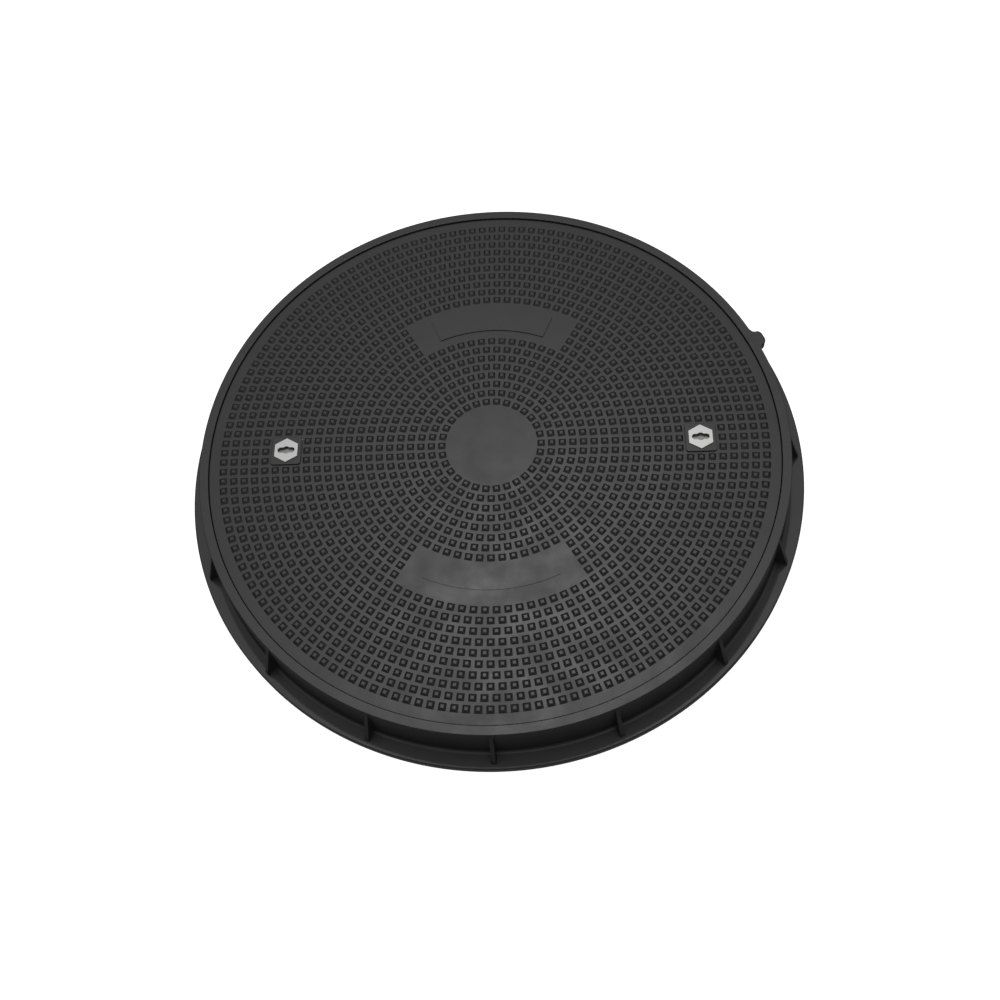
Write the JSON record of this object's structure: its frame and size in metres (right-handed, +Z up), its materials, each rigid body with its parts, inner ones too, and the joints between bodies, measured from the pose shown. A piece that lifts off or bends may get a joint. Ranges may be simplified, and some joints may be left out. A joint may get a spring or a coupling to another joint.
{
  "type": "manhole cover",
  "caption": "Round dark-grey composite manhole cover in a flanged frame, with a studded top and two key-operated quarter-turn locks.",
  "frame": {"origin": "centre of the frame's underside", "axes": "+Z up through the cover's top, X through the two locks"},
  "size_m": [0.991, 0.991, 0.0913],
  "materials": {
    "moulded_composite_frame": "moulded",
    "moulded_composite_cover": "moulded",
    "gasket_rubber": "moulded",
    "stainless_steel": "brushed",
    "zinc_plated_steel": "satin",
    "bronze": "satin",
    "cast_latch": "cast"
  },
  "bodies": {
    "frame": {"frame_ring": "moulded_composite_frame", "seat_gasket": "gasket_rubber"},
    "cover": {"cover_plate": "moulded_composite_cover", "lock_housing_left": "zinc_plated_steel", "lock_housing_right": "zinc_plated_steel", "housing_screws": "zinc_plated_steel", "stop_pins": "stainless_steel"},
    "latch_left": {"key_plug_left": "stainless_steel", "plug_o_ring_left": "gasket_rubber", "thrust_washer_left": "bronze", "latch_bar_left": "cast_latch", "flat_washer_left": "stainless_steel", "spring_washer_left": "stainless_steel", "lock_nut_left": "stainless_steel"},
    "latch_right": {"key_plug_right": "stainless_steel", "plug_o_ring_right": "gasket_rubber", "thrust_washer_right": "bronze", "latch_bar_right": "cast_latch", "flat_washer_right": "stainless_steel", "spring_washer_right": "stainless_steel", "lock_nut_right": "stainless_steel"}
  },
  "joints": [
    {"name": "cover_lift", "type": "slide", "parent": "frame", "child": "cover", "axis": [0, 0, 1], "range_m": [0, 0.15]},
    {"name": "latch_turn_left", "type": "hinge", "parent": "cover", "child": "latch_left", "pos_m": [-0.327, 0, 0.03], "axis": [0, 0, 1], "range_deg": [0, 90]},
    {"name": "latch_turn_right", "type": "hinge", "parent": "cover", "child": "latch_right", "pos_m": [0.327, 0, 0.03], "axis": [0, 0, 1], "range_deg": [0, 90]}
  ]
}
